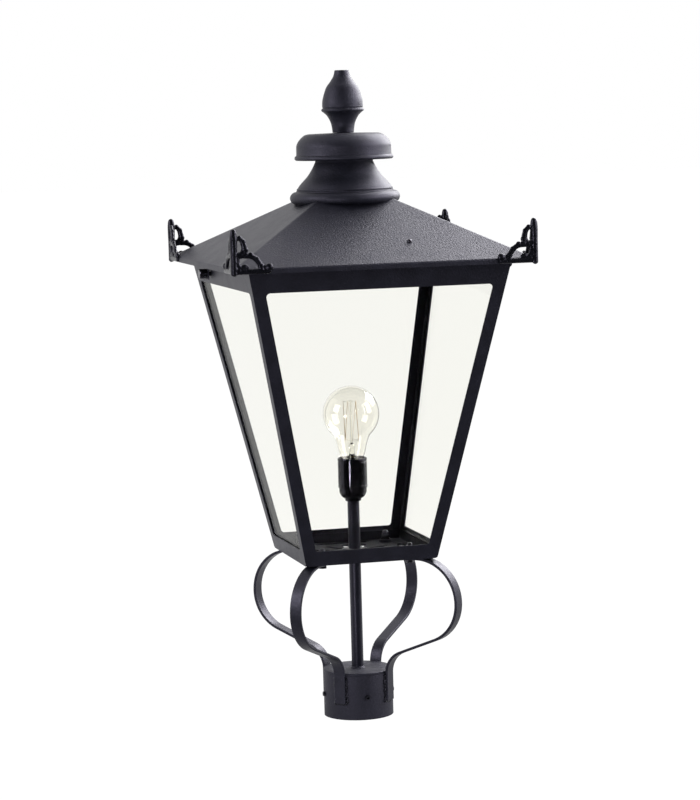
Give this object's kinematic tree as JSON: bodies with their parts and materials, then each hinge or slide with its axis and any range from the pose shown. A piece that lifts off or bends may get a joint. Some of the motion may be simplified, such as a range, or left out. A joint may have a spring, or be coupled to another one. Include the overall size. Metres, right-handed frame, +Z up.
{
  "type": "post top lantern",
  "caption": "Square tapered glazed lantern with hinged pyramid roof and vent cap, on bent straps over a collar that slips onto a lamp post.",
  "frame": {"origin": "on the collar's axis at its lower rim, where the post goes in", "axes": "+Z up along the post's axis; the broad side of the picture faces -Y, the catch is on -X and the roof's hinges on +X"},
  "size_m": [0.3204, 0.3204, 0.6848],
  "materials": {
    "black_powder_coat": "satin fine-textured black powder coat on sheet metal",
    "black_powder_coat_spun": "satin black powder coat on spun and cast metal",
    "black_gloss_cast": "gloss black enamel on castings",
    "black_steel_bar": "satin black powder coat on bent flat bar",
    "black_fastener": "gloss black coated steel fastener",
    "pane": "clear flat glass",
    "bulb_clear": "clear thin glass",
    "phenolic": "glossy black moulded phenolic",
    "brass_cap": "bright drawn brass",
    "contact_metal": "plain turned brass",
    "insulator": "black glass-like insulator",
    "support_wire": "plain nickel wire",
    "filament_wire": "drawn tungsten wire, warm toned",
    "zinc": "zinc plated steel"
  },
  "bodies": {
    "body": {"collar_tube": "black_powder_coat", "collar_lid": "black_powder_coat", "stem_tube": "black_powder_coat", "stem_nut": "zinc", "strap_front_right": "black_steel_bar", "strap_back_right": "black_steel_bar", "strap_back_left": "black_steel_bar", "strap_front_left": "black_steel_bar", "strap_bolts": "black_fastener", "strap_washers": "black_fastener", "dome_nuts": "black_fastener", "base_tray": "black_powder_coat", "stem_rosette": "black_powder_coat", "side_frame_front": "black_powder_coat", "side_frame_right": "black_powder_coat", "side_frame_back": "black_powder_coat", "side_frame_left": "black_powder_coat", "glass_pane_front": "pane", "glass_pane_right": "pane", "glass_pane_back": "pane", "glass_pane_left": "pane", "pane_retainer_front_right": "black_powder_coat", "pane_retainer_back_right": "black_powder_coat", "pane_retainer_back_left": "black_powder_coat", "pane_retainer_front_left": "black_powder_coat", "holder_cap": "phenolic", "holder_barrel": "phenolic", "holder_skirt": "phenolic", "hinge_body_leaves": "black_powder_coat", "hinge_pins": "zinc"},
    "roof": {"roof_shell": "black_powder_coat", "roof_seat_frame": "black_powder_coat", "roof_rivets": "black_fastener", "chimney_base": "black_powder_coat_spun", "chimney_neck": "black_powder_coat_spun", "chimney_spider": "black_powder_coat_spun", "vent_cap": "black_powder_coat_spun", "finial": "black_powder_coat_spun", "finial_rod": "zinc", "ornament_front_right": "black_gloss_cast", "ornament_back_right": "black_gloss_cast", "ornament_back_left": "black_gloss_cast", "ornament_front_left": "black_gloss_cast", "hinge_roof_leaves": "black_powder_coat", "catch_tab": "black_powder_coat"},
    "catch_travel": {"catch_washer": "black_fastener"},
    "catch_screw": {"catch_knob": "black_fastener"},
    "bulb": {"bulb_glass": "bulb_clear", "bulb_cap": "brass_cap", "bulb_base": "insulator", "bulb_mount": "bulb_clear", "filament_supports": "support_wire", "filament": "filament_wire"},
    "set_screw_front_body": {"set_screw_front": "black_fastener"},
    "set_screw_right_body": {"set_screw_right": "black_fastener"},
    "set_screw_back_body": {"set_screw_back": "black_fastener"},
    "set_screw_left_body": {"set_screw_left": "black_fastener"},
    "plunger_front": {"contact_plunger_front": "contact_metal"},
    "plunger_back": {"contact_plunger_back": "contact_metal"}
  },
  "joints": [
    {"name": "roof_hinge", "type": "hinge", "parent": "body", "child": "roof", "pos_m": [0.147, 0, 0.4808], "axis": [0, 1, 0], "range_deg": [0, 100]},
    {"name": "catch_turn", "type": "hinge", "parent": "catch_travel", "child": "catch_screw", "pos_m": [-0.14, 0.056, 0.474], "axis": [-1, 0, 0], "range_deg": [0, 1080]},
    {"name": "catch_slide", "type": "slide", "parent": "body", "child": "catch_travel", "axis": [-1, 0, 0], "range_m": [0, 0.0024]},
    {"name": "bulb_twist", "type": "hinge", "parent": "body", "child": "bulb", "pos_m": [0, 0, 0.258], "axis": [0, 0, 1], "range_deg": [0, 18]},
    {"name": "set_screw_front_travel", "type": "slide", "parent": "body", "child": "set_screw_front_body", "axis": [0, 1, 0], "range_m": [0, 0.0022]},
    {"name": "set_screw_right_travel", "type": "slide", "parent": "body", "child": "set_screw_right_body", "axis": [-1, 0, 0], "range_m": [0, 0.0022]},
    {"name": "set_screw_back_travel", "type": "slide", "parent": "body", "child": "set_screw_back_body", "axis": [0, -1, 0], "range_m": [0, 0.0022]},
    {"name": "set_screw_left_travel", "type": "slide", "parent": "body", "child": "set_screw_left_body", "axis": [1, 0, 0], "range_m": [0, 0.0022]},
    {"name": "plunger_front_press", "type": "slide", "parent": "body", "child": "plunger_front", "axis": [0, 0, -1], "range_m": [0, 0.0025], "stiffness_N_per_m": 900, "springref_m": -0.002},
    {"name": "plunger_back_press", "type": "slide", "parent": "body", "child": "plunger_back", "axis": [0, 0, -1], "range_m": [0, 0.0025], "stiffness_N_per_m": 900, "springref_m": -0.002}
  ],
  "couplings": [
    {"joint": "catch_turn", "follows": "catch_slide", "rad_per_m": 7854}
  ]
}
